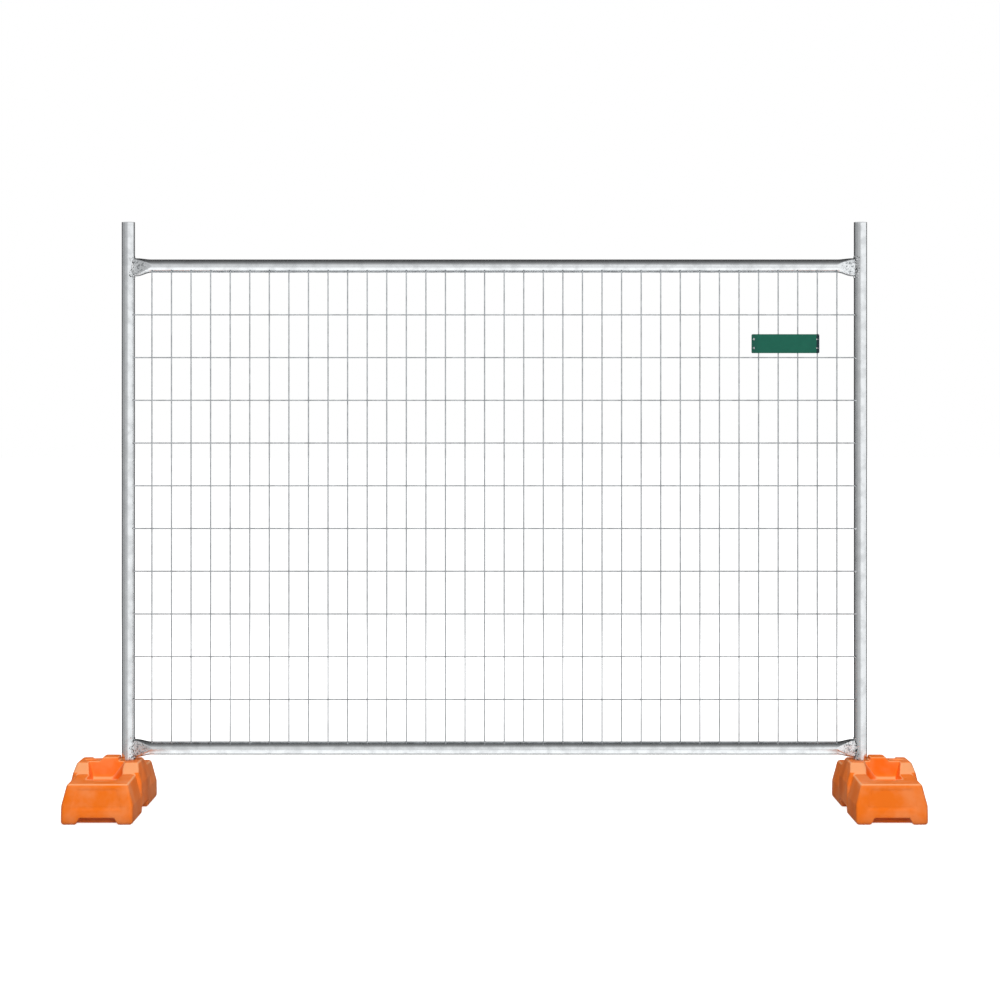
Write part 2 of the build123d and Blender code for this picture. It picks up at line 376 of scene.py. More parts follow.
@dataclass(frozen=True)
class MouldedPolyethylene:
    """Blow-moulded orange polyethylene: waxy, softly glossy, with a fine stipple from the mould.

    A painted highlight lightens the sloped shoulders, between the flat tops and the flanks, by how far up
    each surface faces.
    """

    body: str = "#FA760C"
    worn: str = "#FF9A5C"
    # colour of the painted highlight on the sloped shoulders
    bloom: str = "#FFB680"
    soil: str = "#9A4A12"
    mottle: Patches = Patches(Grain(90.0), Spread(0.36, 0.66, 0.05, 0.6))
    over_flank: Spread = Spread(0.42, 0.62, 0.0, 0.75)   # painted highlight, by how far up the surface faces
    under_top: Spread = Spread(0.84, 0.96, 1.0, 0.0)
    dirt: Grain = Grain(18.0, 4.0)
    near_ground: Spread = Spread(0.0, 0.03, 0.5, 0.0)   # dirt, by height in metres
    seam_height: float = 0.058
    seam: Spread = Spread(0.0, 0.0012, 1.0, 0.0)
    seam_relief: Relief = Relief(0.5, 0.6)
    stipple: Grain = Grain(2.4, 2.0)    # the mould's stipple is finer; this size still shows
    stipple_relief: Relief = Relief(0.12, 0.5)
    roughness: float = 0.48
    ior: float = 1.5
    specular: float = 0.35

    def build(self) -> Material:
        """Build the material."""
        material, tree, place = new_material("blow_moulded_orange_polyethylene")
        height = add_node(tree, "SeparateXYZ", {"Vector": place}).outputs["Z"]
        facing = add_node(tree, "NewGeometry").outputs["Normal"]
        facing = add_node(tree, "SeparateXYZ", {"Vector": facing}).outputs["Z"]
        over = add_node(tree, "MapRange", self.over_flank.sockets(facing), **SMOOTH).outputs["Result"]
        under = add_node(tree, "MapRange", self.under_top.sockets(facing), **SMOOTH).outputs["Result"]
        # painted highlight: paler colour on surfaces that face partly up, between the flanks and the flat
        # tops
        bloom = add_node(tree, "Math", {0: over, 1: under}, operation="MULTIPLY").outputs["Value"]
        low = add_node(tree, "MapRange", self.near_ground.sockets(height), **SMOOTH).outputs["Result"]
        dirt = add_node(tree, "TexNoise", self.dirt.sockets(place)).outputs["Fac"]
        dirt = add_node(tree, "Math", {0: low, 1: dirt}, operation="MULTIPLY").outputs["Value"]
        layers = ((self.mottle.share(tree, place), self.worn), (bloom, self.bloom), (dirt, self.soil))
        colour = layered(tree, srgb(self.body), *layers)
        from_seam = {0: height, 1: self.seam_height}
        off = add_node(tree, "Math", from_seam, operation="SUBTRACT").outputs["Value"]
        off = add_node(tree, "Math", {0: off}, operation="ABSOLUTE").outputs["Value"]
        seam = add_node(tree, "MapRange", self.seam.sockets(off), **SMOOTH).outputs["Result"]
        line = add_node(tree, "Bump", self.seam_relief.sockets(seam)).outputs["Normal"]
        stipple = add_node(tree, "TexNoise", self.stipple.sockets(place)).outputs["Fac"]
        normal = add_node(tree, "Bump", self.stipple_relief.sockets(stipple, line)).outputs["Normal"]
        plastic = {"Base Color": colour, "Roughness": self.roughness, "Normal": normal}
        gloss = {"IOR": self.ior, "Specular IOR Level": self.specular}
        return surfaced(material, plastic | gloss)


@dataclass(frozen=True)
class PaintedPlate:
    """Green stove enamel on sheet metal: even and satin, darker at the two ends of the plate."""

    body: str = "#0C5040"
    faded: str = "#1C6450"
    end: str = "#0A1E24"
    fade: Patches = Patches(Grain(30.0, 4.0), Spread(0.4, 0.8, 0.0, 0.25))
    dark_strip: float = 0.0095
    strip_edge: float = 0.0006
    shade_reach: float = 0.03
    shade_share: float = 0.3
    peel: Grain = Grain(1.8, 2.0)
    peel_relief: Relief = Relief(0.04, 0.5)
    roughness: float = 0.36
    ior: float = 1.5
    specular: float = 0.25

    def build(self, left: float, right: float) -> Material:
        """Build the material.

        Args:
            left: The plate's left edge along the fence.
            right: The plate's right edge along the fence.

        Returns:
            The material.
        """
        material, tree, place = new_material("green_stove_enamel")
        along = add_node(tree, "SeparateXYZ", {"Vector": place}).outputs["X"]
        shade = Spread(left, left + self.shade_reach, self.shade_share, 0.0)
        strip = Spread(right - self.dark_strip, right - self.dark_strip + self.strip_edge)
        colour = layered(tree, srgb(self.body), (self.fade.share(tree, place), self.faded))
        for spread in (shade, strip):
            share = add_node(tree, "MapRange", spread.sockets(along), **SMOOTH).outputs["Result"]
            colour = layered(tree, colour, (share, self.end))
        peel = add_node(tree, "TexNoise", self.peel.sockets(place)).outputs["Fac"]
        normal = add_node(tree, "Bump", self.peel_relief.sockets(peel)).outputs["Normal"]
        paint = {"Base Color": colour, "Roughness": self.roughness, "Normal": normal}
        gloss = {"IOR": self.ior, "Specular IOR Level": self.specular}
        return surfaced(material, paint | gloss)


@dataclass(frozen=True)
class MouldedBung:
    """Black moulded polyethylene: dull, with a fine mould grain."""

    body: str = "#1C1C1D"
    worn: str = "#38383A"
    rubbed: Patches = Patches(Grain(6.0), Spread(0.45, 0.75, 0.0, 0.6))
    mould: Grain = Grain(1.2, 2.0)
    mould_relief: Relief = Relief(0.08, 0.5)
    roughness: float = 0.55
    ior: float = 1.5

    def build(self) -> Material:
        """Build the material."""
        material, tree, place = new_material("moulded_black_polyethylene")
        colour = layered(tree, srgb(self.body), (self.rubbed.share(tree, place), self.worn))
        grain = add_node(tree, "TexNoise", self.mould.sockets(place)).outputs["Fac"]
        normal = add_node(tree, "Bump", self.mould_relief.sockets(grain)).outputs["Normal"]
        plastic = {"Base Color": colour, "Roughness": self.roughness, "IOR": self.ior, "Normal": normal}
        return surfaced(material, plastic)


def make_piece(
    bm: bmesh.types.BMesh, name: str, material: Material, crease_deg: float = 40.0
) -> Piece:
    """Turn a finished bmesh into a smooth-shaded piece that rides on the fence.

    Args:
        bm: The shape, in place. It is freed.
        name: The piece's name.
        material: Its finish.
        crease_deg: Edges sharper than this keep a hard line.

    Returns:
        The new object.
    """
    mesh = bpy.data.meshes.new(name)
    bm.to_mesh(mesh)
    bm.free()
    mesh.shade_smooth()
    mesh.set_sharp_from_angle(angle=math.radians(crease_deg))
    mesh.materials.append(material)
    piece = bpy.data.objects.new(name, mesh)
    bpy.context.scene.collection.objects.link(piece)
    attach(piece, BODY)
    return piece


def box_size(node: str) -> tuple[Vector, Vector]:
    """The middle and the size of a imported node, in metres."""
    low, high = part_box(node)
    return (low + high) / 2, high - low


def edges_round(verts: Iterable[bmesh.types.BMVert]) -> Edges:
    """The edges that meet at some corners, each once and in a settled order."""
    return list(dict.fromkeys(edge for vert in verts for edge in vert.link_edges))


def add_cylinder(bm: bmesh.types.BMesh, place: Matrix, radius: float, depth: float, sides: int) -> None:
    """Add one closed cylinder about a place's Z axis."""
    bmesh.ops.create_cone(
        bm, cap_ends=True, segments=sides, radius1=radius, radius2=radius, depth=depth, matrix=place
    )


def loft(bm: bmesh.types.BMesh, places: Iterable[Matrix], segments: int) -> list[Edges]:
    """Skin a row of rings of unit radius.

    Args:
        bm: The bmesh that takes the skin.
        places: Where each ring goes, and how it is scaled.
        segments: How many sides the skin has.

    Returns:
        The edges of each ring.
    """
    rings = []
    for place in places:
        made = bmesh.ops.create_circle(bm, cap_ends=False, segments=segments, radius=1, matrix=place)
        rings.append(edges_round(made["verts"]))
    for first, second in zip(rings, rings[1:]):
        bmesh.ops.bridge_loops(bm, edges=first + second)
    return rings


@dataclass
class FencePost:
    """One open upright tube."""

    side: Side
    wall: float = 0.002
    segments: int = 72
    rim_bevel: float = 0.0005
    rim_steps: int = 2
    end_band: float = 0.004     # a ring this far from each end keeps the rim's shading off the wall

    def build(self, finish: Material) -> Piece:
        """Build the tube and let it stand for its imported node.

        Args:
            finish: The tube's material.

        Returns:
            The tube.
        """
        node = f"{self.side.word}_post"
        middle, size = box_size(node)
        radius = size.x / 2
        foot = Matrix.Translation((middle.x, middle.y, middle.z - size.z / 2))
        foot = foot @ Matrix.Diagonal((radius, radius, 1, 1))
        heights = (0, self.end_band, size.z - self.end_band, size.z)
        bm = bmesh.new()
        loft(bm, [Matrix.Translation((0, 0, height)) @ foot for height in heights], self.segments)
        bmesh.ops.recalc_face_normals(bm, faces=bm.faces)
        bmesh.ops.solidify(bm, geom=bm.faces[:], thickness=self.wall)
        bmesh.ops.recalc_face_normals(bm, faces=bm.faces)
        rims = [edge for edge in bm.edges if self.is_rim(edge, middle.z + size.z / 2)]
        bmesh.ops.bevel(
            bm, geom=rims, offset=self.rim_bevel, affect="EDGES", segments=self.rim_steps,
            profile=0.5, material=-1,
        )
        piece = make_piece(bm, f"{self.side.word}_post_tube", finish)
        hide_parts(node)
        return piece

    @staticmethod
    def is_rim(edge: bmesh.types.BMEdge, top: float) -> bool:
        """Whether an edge runs round a rim at the tube's top, and not across the wall.

        Args:
            edge: The edge.
            top: The height of the tube's top.

        Returns:
            True for the outer and the inner rim.
        """
        at_top = all(abs(vert.co.z - top) < MM for vert in edge.verts)
        return at_top and any(abs(face.normal.z) < 0.5 for face in edge.link_faces)


@dataclass
class FenceRail:
    """One level tube with ends pressed flat, front and back, where they meet the posts."""

    level: Level
    press_depth: float = 0.023
    press_length: float = 0.048
    press_straight: float = 0.006
    top_press_drop: float = 0.004
    crush_reach: float = 0.075  # from the post's middle line back to where the zinc is whole
    wall: float = 0.002
    segments: int = 160
    press_rings: int = 16
    end_band: float = 0.004     # a ring this far before the press keeps its shading off the plain tube

    def crushed_from(self) -> float:
        """How far along the fence from its middle the crushed zinc starts."""
        return box_size("right_post")[0].x - self.crush_reach

    def stations(self, round_to: float, end: float) -> list[tuple[float, float]]:
        """Settle where the rail's rings go.

        Args:
            round_to: How far out from the panel's middle the tube is round.
            end: How far out it ends.

        Returns:
            Places along the fence from end to end, each with its share of the press.
        """
        shares = [step / self.press_rings for step in range(self.press_rings + 1)]
        half = [(round_to - self.end_band, 0.0)]
        half += [(round_to + self.press_length * share, share) for share in shares]
        half.append((end, 1.0))
        return [(-x, share) for x, share in reversed(half)] + half

    def build(self, finish: Material) -> Piece:
        """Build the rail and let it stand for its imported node.

        Args:
            finish: The rail's material.

        Returns:
            The rail.
        """
        node = f"{self.level.value}_rail"
        middle, size = box_size(node)
        post_middle, post_size = box_size("right_post")
        radius = size.y / 2
        post_radius = post_size.x / 2
        drop = self.top_press_drop if self.level is Level.TOP else 0.0
        round_to = post_middle.x - post_radius - self.press_straight - self.press_length
        stations = self.stations(round_to, post_middle.x - self.wall)
        lying = Matrix.Rotation(QUARTER_TURN, 4, "Y")
        places = []
        for x, share in stations:
            ease = share * share * (3 - 2 * share)
            half_z = radius + (size.z / 2 - radius) * ease
            place = Matrix.Translation((x, middle.y, middle.z + drop * (1 - ease)))
            places.append(place @ Matrix.Diagonal((1, radius, half_z, 1)) @ lying)
        bm = bmesh.new()
        rings = loft(bm, places, self.segments)
        for ring, (_, share) in zip(rings, stations):
            flat = radius + (self.press_depth / 2 - radius) * share
            for vert in {vert for edge in ring for vert in edge.verts}:
                vert.co.y = min(max(vert.co.y, middle.y - flat), middle.y + flat)
        for ring in (rings[0], rings[-1]):
            self.cope(ring, post_middle.x, post_radius - self.wall / 2)
        bmesh.ops.holes_fill(bm, edges=rings[0] + rings[-1], sides=0)
        bmesh.ops.recalc_face_normals(bm, faces=bm.faces)
        piece = make_piece(bm, f"{self.level.value}_rail_tube", finish)
        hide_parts(node)
        return piece

    @staticmethod
    def cope(ring: Edges, post_x: float, radius: float) -> None:
        """Shape a rail's end to the round of its post.

        Args:
            ring: The edges of the rail's end.
            post_x: How far the post stands from the panel's middle.
            radius: The distance from the post's middle at which the rail ends.
        """
        for vert in {vert for edge in ring for vert in edge.verts}:
            reach = post_x - math.sqrt(radius ** 2 - vert.co.y ** 2)
            vert.co.x = math.copysign(reach, vert.co.x)


@dataclass
class WeldBead:
    """The bead round one rail end, with the spatter that the welder left."""

    side: Side
    level: Level
    bead: float = 0.0060
    stand_off: float = 0.2      # how far the bead's middle clears the post, as a share of its radius
    bend_limit: float = 0.95    # share of the post's radius up to which the bead follows its round
    lump: float = 0.0024
    lump_spacing: float = 0.0055
    lump_lean: float = 0.6      # how far the lumps lean along the rail
    turns: int = 96
    sides: int = 10
    crease_deg: float = 80.0
    spatter: int = 110
    spatter_reach: float = 0.006
    spatter_turn: float = 1.3   # radians round the post, each way
    spatter_size: float = 0.0026
    spatter_least: float = 0.4  # the smallest droplet, as a share of the largest

    def build(self, finish: Material) -> Piece:
        """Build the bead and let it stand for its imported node.

        Args:
            finish: The weld's material.

        Returns:
            The bead.
        """
        node = f"weld_{self.level.value}_{self.side.word}"
        rail_middle, rail_size = box_size(f"{self.level.value}_rail")
        post_middle, post_size = box_size(f"{self.side.word}_post")
        post = Vector((post_middle.x, rail_middle.y, rail_middle.z))
        radius = post_size.x / 2
        half_y = FenceRail(self.level).press_depth / 2
        half_z = rail_size.z / 2
        bm = bmesh.new()
        upright = Matrix.Rotation(QUARTER_TURN, 4, "X")
        bmesh.ops.create_circle(bm, cap_ends=False, segments=self.sides, radius=self.bead, matrix=upright)
        bmesh.ops.rotate(bm, verts=bm.verts, cent=(0, 0, 0), matrix=Matrix.Rotation(QUARTER_TURN, 3, "Z"))
        bmesh.ops.translate(bm, verts=bm.verts, vec=(0, half_z, 0))
        bmesh.ops.spin(
            bm, geom=bm.verts[:] + bm.edges[:], cent=(0, 0, 0), axis=(1, 0, 0), angle=math.tau,
            steps=self.turns, use_merge=True,
        )
        self.fit(bm, half_y, half_z, radius, post)
        self.add_spatter(bm, half_z, radius, post)
        bmesh.ops.recalc_face_normals(bm, faces=bm.faces)
        piece = make_piece(bm, f"{node}_bead", finish, self.crease_deg)
        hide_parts(node)
        return piece

    def fit(self, bm: bmesh.types.BMesh, half_y: float, half_z: float, radius: float, post: Vector) -> None:
        """Bend the round bead onto the post, round the rail's oval, and make it lumpy.

        Args:
            bm: The bead, a ring of the oval's height about the X axis.
            half_y: Half the oval's depth.
            half_z: Half the oval's height.
            radius: The post's radius.
            post: The point on the post's middle line that faces the rail.
        """
        inward = -self.side.value
        for vert in bm.verts:
            across = math.hypot(vert.co.y, vert.co.z)
            turn_y, turn_z = vert.co.y / across, vert.co.z / across
            out = across - half_z
            y = (half_y + out) * turn_y
            z = (half_z + out) * turn_z
            seat = math.sqrt(radius ** 2 - min(abs(y), radius * self.bend_limit) ** 2)
            x = inward * (seat + vert.co.x + self.bead * self.stand_off)
            place = Vector((post.x + x, post.y + y, post.z + z))
            lump = noise.noise(place / self.lump_spacing)
            away = Vector((self.lump_lean * inward, turn_y, turn_z)).normalized()
            vert.co = place + away * (lump * self.lump)

    def add_spatter(self, bm: bmesh.types.BMesh, half_z: float, radius: float, post: Vector) -> None:
        """Scatter small droplets on the post beside the bead.

        Args:
            bm: The bmesh that takes them.
            half_z: Half the oval's height.
            radius: The post's radius.
            post: The point on the post's middle line that faces the rail.
        """
        rng = random.Random(f"{self.side.word} {self.level.value}")
        inward = -self.side.value
        high = half_z + self.spatter_reach
        for _ in range(self.spatter):
            turn = rng.uniform(-self.spatter_turn, self.spatter_turn)
            up = rng.uniform(-high, high)
            size = self.spatter_size * rng.uniform(self.spatter_least, 1.0)
            x = post.x + inward * radius * math.cos(turn)
            spot = Matrix.Translation((x, post.y + radius * math.sin(turn), post.z + up))
            bmesh.ops.create_icosphere(bm, subdivisions=1, radius=size, matrix=spot)


@dataclass(frozen=True)
class WirePlaces:
    """Where the mesh's wires lie: along the fence, above the ground, and across the fence."""

    across: list[float]
    heights: list[float]
    level_y: float
    upright_y: float


@dataclass
class WeldedMesh:
    """The sheet of welded wire: upright wires in front of level ones."""

    uprights: int = 36
    levels: int = 12
    sections: int = 4
    wire: float = 0.004
    wire_sides: int = 10
    overhang: float = 0.003
    nugget: tuple[float, float, float] = (0.0031, 0.0022, 0.0031)
    tack: float = 0.0034
    tack_behind: float = 0.2    # how far a tack lies behind its wire, as a share of the wire
    tack_spread: tuple[float, float] = (0.75, 1.15)
    tack_lump: float = 0.35
    tack_lumps_per_metre: float = 420.0
    tack_seed: int = 7
    crease_deg: float = 80.0

    def places(self) -> WirePlaces:
        """Read the wires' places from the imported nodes."""
        middle, size = box_size("mesh_2")
        pitch = size.x / (self.uprights / self.sections)
        across = [(i - (self.uprights - 1) / 2) * pitch for i in range(self.uprights)]
        low = middle.z - size.z / 2 + self.overhang
        step = (size.z - 2 * self.overhang) / (self.levels - 1)
        heights = [low + step * i for i in range(self.levels)]
        return WirePlaces(across, heights, middle.y + size.y / 4, middle.y - size.y / 4)

    def build(self, finish: Material, weld: Material) -> list[Piece]:
        """Build the sheet and its tack welds.

        Args:
            finish: The wire's material.
            weld: The tack welds' material.

        Returns:
            The sheet and the tacks.
        """
        places = self.places()
        heights = places.heights
        post_middle, post_size = box_size("right_post")
        wall = post_middle.x - math.sqrt((post_size.x / 2) ** 2 - places.level_y ** 2)
        bm = bmesh.new()
        for index, height in enumerate(heights):
            end_row = index in (0, self.levels - 1)
            reach = places.across[-1] + self.overhang if end_row else wall
            self.add_wire(bm, Vector((0, places.level_y, height)), 2 * reach, Axis.ALONG_FENCE)
        middle_height = (heights[0] + heights[-1]) / 2
        length = heights[-1] - heights[0] + 2 * self.overhang
        between = (places.level_y + places.upright_y) / 2
        for x in places.across:
            self.add_wire(bm, Vector((x, places.upright_y, middle_height)), length, Axis.UPRIGHT)
            for height in heights:
                spot = Matrix.Translation((x, between, height)) @ Matrix.Diagonal((*self.nugget, 1))
                bmesh.ops.create_icosphere(bm, subdivisions=1, radius=1, matrix=spot)
        sheet = make_piece(bm, "welded_mesh_sheet", finish)
        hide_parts(*(f"mesh_{i + 1}" for i in range(self.sections)))
        return [sheet, self.build_tacks(places, wall, weld)]

    def add_wire(self, bm: bmesh.types.BMesh, middle: Vector, length: float, axis: Axis) -> None:
        """Add one straight round wire.

        Args:
            bm: The bmesh that takes it.
            middle: The wire's middle.
            length: Its length.
            axis: The direction it runs in.
        """
        turn = Matrix.Rotation(QUARTER_TURN, 4, "Y") if axis is Axis.ALONG_FENCE else Matrix.Identity(4)
        add_cylinder(bm, Matrix.Translation(middle) @ turn, self.wire / 2, length, self.wire_sides)

    def build_tacks(self, places: WirePlaces, wall: float, weld: Material) -> Piece:
        """Build the tack welds that hold the sheet to the rails and the posts.

        Args:
            places: Where the wires lie.
            wall: How far along the fence the level wires meet the posts.
            weld: The tack welds' material.

        Returns:
            The tacks, as one piece.
        """
        rng = random.Random(self.tack_seed)
        heights = places.heights
        spots = [Vector((x, places.level_y, z)) for x in places.across for z in (heights[0], heights[-1])]
        spots += [Vector((side.value * wall, places.level_y, z)) for side in Side for z in heights[1:-1]]
        seat = Vector((0, self.wire * self.tack_behind, 0))
        bm = bmesh.new()
        for spot in spots:
            shape = Matrix.Diagonal((*(self.tack * rng.uniform(*self.tack_spread) for _ in range(3)), 1))
            place = Matrix.Translation(spot + seat) @ shape
            made = bmesh.ops.create_icosphere(bm, subdivisions=2, radius=1, matrix=place)
            for vert in made["verts"]:
                lump = noise.noise(vert.co * self.tack_lumps_per_metre)
                vert.co += (vert.co - spot) * self.tack_lump * lump
        return make_piece(bm, "mesh_tack_welds", weld, self.crease_deg)


@dataclass
class MouldedFoot:
    """One weighted foot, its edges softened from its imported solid."""

    side: Side
    merge: float = 0.01 * MM
    voxel: float = 0.0028
    soften_rounds: int = 6
    soften_share: float = 0.5
    crease_deg: float = 60.0

    def build(self, plastic: Material) -> Piece:
        """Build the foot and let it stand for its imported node.

        Args:
            plastic: The foot's material.

        Returns:
            The foot.
        """
        node = f"{self.side.word}_foot"
        bm = bmesh.new()
        bm.from_mesh(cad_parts[node].data)
        bmesh.ops.remove_doubles(bm, verts=bm.verts, dist=self.merge)
        rough = bpy.data.meshes.new(f"{node}_rough")
        bm.to_mesh(rough)
        bm.free()
        shell = bpy.data.objects.new(f"{node}_rough", rough)
        bpy.context.scene.collection.objects.link(shell)
        remesh = shell.modifiers.new("soften", "REMESH")
        remesh.mode = "VOXEL"
        remesh.voxel_size = self.voxel
        smooth = shell.modifiers.new("smooth", "SMOOTH")
        smooth.factor = self.soften_share
        smooth.iterations = self.soften_rounds
        graph = bpy.context.evaluated_depsgraph_get()
        done = bpy.data.meshes.new_from_object(shell.evaluated_get(graph))
        bpy.data.objects.remove(shell)
        bm = bmesh.new()
        bm.from_mesh(done)
        bpy.data.meshes.remove(done)
        piece = make_piece(bm, f"{node}_moulding", plastic, self.crease_deg)
        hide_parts(node)
        return piece


@dataclass
class FillingBung:
    """The bung that closes a foot's filling hole, with a cross to turn it by."""

    side: Side
    sides: int = 48
    dish_wall: float = 0.001
    lip: float = 0.16           # this and the bar's length and width are shares of the radius
    bar_length: float = 1.6
    bar_width: float = 0.16
    dish: float = 0.4           # this and the bar's drop and height are shares of the thickness
    bar_drop: float = 0.22
    bar_height: float = 0.45
    crease_deg: float = 30.0

    def build(self, finish: Material) -> Piece:
        """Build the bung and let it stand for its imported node.

        Args:
            finish: The bung's material.

        Returns:
            The bung.
        """
        node = f"{self.side.word}_foot_plug"
        middle, size = box_size(node)
        radius = size.x / 2
        bm = bmesh.new()
        add_cylinder(bm, Matrix.Translation(middle), radius, size.z, self.sides)
        under = min(bm.faces, key=lambda face: face.calc_center_median().z)
        bmesh.ops.inset_individual(bm, faces=[under], thickness=radius * self.lip, depth=0)
        bmesh.ops.inset_individual(bm, faces=[under], thickness=self.dish_wall, depth=-size.z * self.dish)
        low = Matrix.Translation(middle - Vector((0, 0, size.z * self.bar_drop)))
        bar = (radius * self.bar_length, radius * self.bar_width, size.z * self.bar_height, 1)
        for turn in (0, QUARTER_TURN):
            place = low @ Matrix.Rotation(turn, 4, "Z") @ Matrix.Diagonal(bar)
            bmesh.ops.create_cube(bm, size=1, matrix=place)
        piece = make_piece(bm, f"{node}_bung", finish, self.crease_deg)
        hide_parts(node)
        return piece


@dataclass
class TiedPlate:
    """The small bare plate and what holds it to the mesh."""

    hole_inset: float = 0.0074
    hole_drop: float = 0.0143
    head: float = 0.0026
    head_flatness: float = 0.62
    head_segments: int = 20
    head_rings: int = 12
    washer: float = 0.0034
    washer_depth: float = 0.001
    washer_sides: int = 28
    shank: float = 0.0022
    shank_past: float = 0.002
    shank_sides: int = 16
    nut: float = 0.0042
    nut_depth: float = 0.0034
    nut_behind: float = 0.0005
    nut_sides: int = 6
    strap: float = 0.0018
    strap_bevel: float = 0.0004
    strap_crease_deg: float = 35.0
    tie_wire: float = 0.0006
    tie_sides: int = 8
    tie_steps: int = 28
    tie_crease_deg: float = 60.0

    def build(self, enamel: PaintedPlate, zinc: Material, mesh: WeldedMesh) -> list[Piece]:
        """Finish the plate and add its bolts, strap and ties.

        Args:
            enamel: The plate's finish.
            zinc: The fixings' material.
            mesh: The mesh that the plate is fixed to.

        Returns:
            The plate, the bolts with their strap, and the ties.
        """
        middle, size = box_size("sign_plate")
        left, right = middle.x - size.x / 2, middle.x + size.x / 2
        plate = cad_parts["sign_plate"]
        plate.data.materials.clear()
        plate.data.materials.append(enamel.build(left, right))
        places = mesh.places()
        front = middle.y - size.y / 2
        bm = bmesh.new()
        for up in (-1, 1):
            spot = Vector((left + self.hole_inset, front, middle.z + up * self.hole_drop))
            self.add_bolt(bm, spot, places.level_y)
        behind = places.upright_y + mesh.wire / 2
        wire_x = min(places.across, key=lambda x: abs(x - left - self.hole_inset))
        start, end = left + self.hole_inset - self.washer, wire_x + self.washer
        place = Matrix.Translation(((start + end) / 2, behind + self.strap / 2, middle.z))
        shape = Matrix.Diagonal((end - start, self.strap, 2 * self.hole_drop + 2 * self.washer, 1))
        edges = edges_round(bmesh.ops.create_cube(bm, size=1, matrix=place @ shape)["verts"])
        bmesh.ops.bevel(
            bm, geom=edges, offset=self.strap_bevel, affect="EDGES", segments=2, profile=0.5, material=-1
        )
        fixings = make_piece(bm, "plate_bolts_and_strap", zinc, self.strap_crease_deg)
        return [plate, fixings, self.build_ties(middle, size, behind, zinc)]

    def add_bolt(self, bm: bmesh.types.BMesh, spot: Vector, back_y: float) -> None:
        """Add one round-headed bolt with its washer, shank and nut.

        Args:
            bm: The bmesh that takes it.
            spot: The point on the plate's front that it goes through.
            back_y: How far back the nut is.
        """
        lying = Matrix.Rotation(QUARTER_TURN, 4, "X")
        grip = back_y - spot.y
        shank_length = grip + self.shank_past
        parts = (
            (self.washer, self.washer_depth, -self.washer_depth / 2, self.washer_sides),
            (self.shank, shank_length, shank_length / 2, self.shank_sides),
            (self.nut, self.nut_depth, grip + self.nut_behind, self.nut_sides),
        )
        for radius, depth, at, sides in parts:
            place = Matrix.Translation(spot + Vector((0, at, 0))) @ lying
            add_cylinder(bm, place, radius, depth, sides)
        dome = Matrix.Translation(spot - Vector((0, self.washer_depth, 0)))
        dome = dome @ Matrix.Diagonal((1, self.head_flatness, 1, 1))
        bmesh.ops.create_uvsphere(
            bm, u_segments=self.head_segments, v_segments=self.head_rings, radius=self.head, matrix=dome
        )

    def build_ties(self, middle: Vector, size: Vector, behind: float, finish: Material) -> Piece:
        """Build the two wire ties at the plate's right end, each through its hole and round the edge.

        Args:
            middle: The plate's middle.
            size: The plate's size.
            behind: The back of the upright wires.
            finish: The ties' material.

        Returns:
            The ties, as one piece.
        """
        right = middle.x + size.x / 2
        hole = right - self.hole_inset
        front = middle.y - size.y / 2 - self.tie_wire
        back = behind + self.tie_wire
        reach = (right - hole) / 2 + self.tie_wire
        deep = (back - front) / 2
        bm = bmesh.new()
        for up in (-1, 1):
            height = middle.z + up * self.hole_drop
            centre = Vector(((hole + right) / 2, (front + back) / 2, height))
            start = Matrix.Translation((centre.x + (right - hole) / 2 + self.tie_wire, centre.y, height))
            start = start @ Matrix.Rotation(QUARTER_TURN, 4, "X")
            made = bmesh.ops.create_circle(
                bm, cap_ends=False, segments=self.tie_sides, radius=self.tie_wire, matrix=start
            )
            bmesh.ops.spin(
                bm, geom=made["verts"] + edges_round(made["verts"]), cent=centre, axis=(0, 0, 1),
                angle=math.tau, steps=self.tie_steps, use_merge=True,
            )
            for vert in bm.verts:
                if abs(vert.co.z - height) < 2 * self.tie_wire:
                    offset = vert.co - centre
                    across = math.hypot(offset.x, offset.y)
                    vert.co.y = centre.y + (deep + across - reach) * offset.y / across
        bmesh.ops.recalc_face_normals(bm, faces=bm.faces)
        return make_piece(bm, "plate_wire_ties", finish, self.tie_crease_deg)


@dataclass(frozen=True)
class Softbox:
    """One rectangular soft lamp, which the metal doesn't mirror."""

    name: str
    place: tuple[float, float, float]
    aim: tuple[float, float, float]
    width: float
    height: float
    watts: float

    def hang(self) -> None:
        """Hang the lamp in its place and turn it to its aim."""
        data = bpy.data.lights.new(self.name, "AREA")
        data.shape = "RECTANGLE"
        data.size = self.width
        data.size_y = self.height
        data.energy = self.watts
        lamp = bpy.data.objects.new(self.name, data)
        lamp.location = self.place
        lamp.rotation_euler = (Vector(self.aim) - Vector(self.place)).to_track_quat("-Z", "Y").to_euler()
        lamp.visible_glossy = False
        bpy.context.scene.collection.objects.link(lamp)


